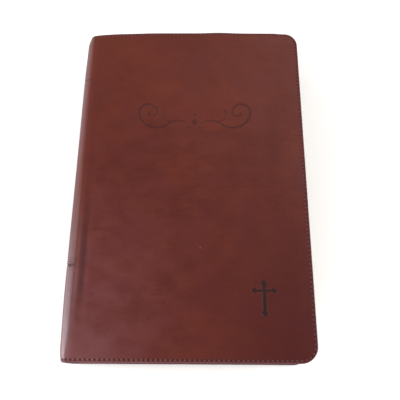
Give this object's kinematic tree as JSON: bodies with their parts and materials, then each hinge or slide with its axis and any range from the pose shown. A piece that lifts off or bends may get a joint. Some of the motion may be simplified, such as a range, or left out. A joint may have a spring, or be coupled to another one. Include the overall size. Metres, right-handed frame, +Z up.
{
  "type": "bible",
  "caption": "Closed soft-cover bible with rounded corners, perimeter stitching, pressed cross and scroll, and a page block that opens flat in the middle.",
  "frame": {"origin": "middle of the closed book's footprint, on the underside of the back cover", "axes": "+X from the spine to the fore edge, +Y from the tail edge to the head edge, +Z up through the pages to the front cover"},
  "size_m": [0.14, 0.213, 0.027],
  "materials": {
    "leather": "soft satin imitation leather, brown, lightly mottled",
    "joint_leather": "soft satin imitation leather, bent",
    "board": "raw grey board",
    "endpaper": "matt cream paper",
    "pages": "thin off-white paper in layers",
    "thread": "twisted thread",
    "mull_cloth": "open-weave cloth",
    "band_cloth": "striped woven band"
  },
  "bodies": {
    "back_cover": {"back_cover_leather": "leather", "back_cover_board": "board", "back_pastedown": "endpaper", "back_stitching": "thread", "rear_joint_leather": "joint_leather", "rear_free_endpaper": "endpaper", "rear_signatures_1": "pages", "spine_mull": "mull_cloth", "head_band": "band_cloth", "tail_band": "band_cloth"},
    "rear_group_2": {"rear_signatures_2": "pages"},
    "rear_group_3": {"rear_signatures_3": "pages"},
    "rear_group_4": {"rear_signatures_4": "pages"},
    "spine": {"spine_leather": "leather", "spine_liner": "board", "spine_stitching": "thread"},
    "front_half": {"front_joint_leather": "joint_leather", "front_free_endpaper": "endpaper", "front_signatures_1": "pages"},
    "front_group_2": {"front_signatures_2": "pages"},
    "front_group_3": {"front_signatures_3": "pages"},
    "front_group_4": {"front_signatures_4": "pages"},
    "front_cover": {"front_cover_leather": "leather", "front_cover_board": "board", "front_pastedown": "endpaper", "front_stitching": "thread"}
  },
  "joints": [
    {"name": "book_opening", "type": "hinge", "parent": "back_cover", "child": "spine", "pos_m": [-0.0656, 0, 0.0044], "axis": [0, 1, 0], "range_deg": [-90, 0], "deforming": ["rear_joint_leather", "spine_mull", "head_band", "tail_band"]},
    {"name": "front_half_turn", "type": "hinge", "parent": "spine", "child": "front_half", "pos_m": [-0.0656, 0, 0.0226], "axis": [0, 1, 0], "range_deg": [-90, 0], "deforming": ["front_joint_leather"]},
    {"name": "front_cover_hinge", "type": "hinge", "parent": "front_half", "child": "front_cover", "pos_m": [-0.0656, 0, 0.02715], "axis": [0, -1, 0], "range_deg": [0, 180]},
    {"name": "rear_slide_2", "type": "slide", "parent": "back_cover", "child": "rear_group_2", "axis": [1, 0, 0], "range_m": [-0.00309, 0]},
    {"name": "rear_slide_3", "type": "slide", "parent": "back_cover", "child": "rear_group_3", "axis": [1, 0, 0], "range_m": [-0.00615, 0]},
    {"name": "rear_slide_4", "type": "slide", "parent": "back_cover", "child": "rear_group_4", "axis": [1, 0, 0], "range_m": [-0.00922, 0]},
    {"name": "front_slide_2", "type": "slide", "parent": "front_half", "child": "front_group_2", "axis": [1, 0, 0], "range_m": [-0.00309, 0]},
    {"name": "front_slide_3", "type": "slide", "parent": "front_half", "child": "front_group_3", "axis": [1, 0, 0], "range_m": [-0.00615, 0]},
    {"name": "front_slide_4", "type": "slide", "parent": "front_half", "child": "front_group_4", "axis": [1, 0, 0], "range_m": [-0.00922, 0]}
  ],
  "couplings": [
    {"joint": "front_half_turn", "follows": "book_opening", "ratio": 1},
    {"joint": "rear_slide_2", "follows": "book_opening", "m_per_rad": 0.0019523},
    {"joint": "rear_slide_3", "follows": "book_opening", "m_per_rad": 0.0039046},
    {"joint": "rear_slide_4", "follows": "book_opening", "m_per_rad": 0.0058569},
    {"joint": "front_slide_2", "follows": "book_opening", "m_per_rad": 0.0019523},
    {"joint": "front_slide_3", "follows": "book_opening", "m_per_rad": 0.0039046},
    {"joint": "front_slide_4", "follows": "book_opening", "m_per_rad": 0.0058569}
  ]
}
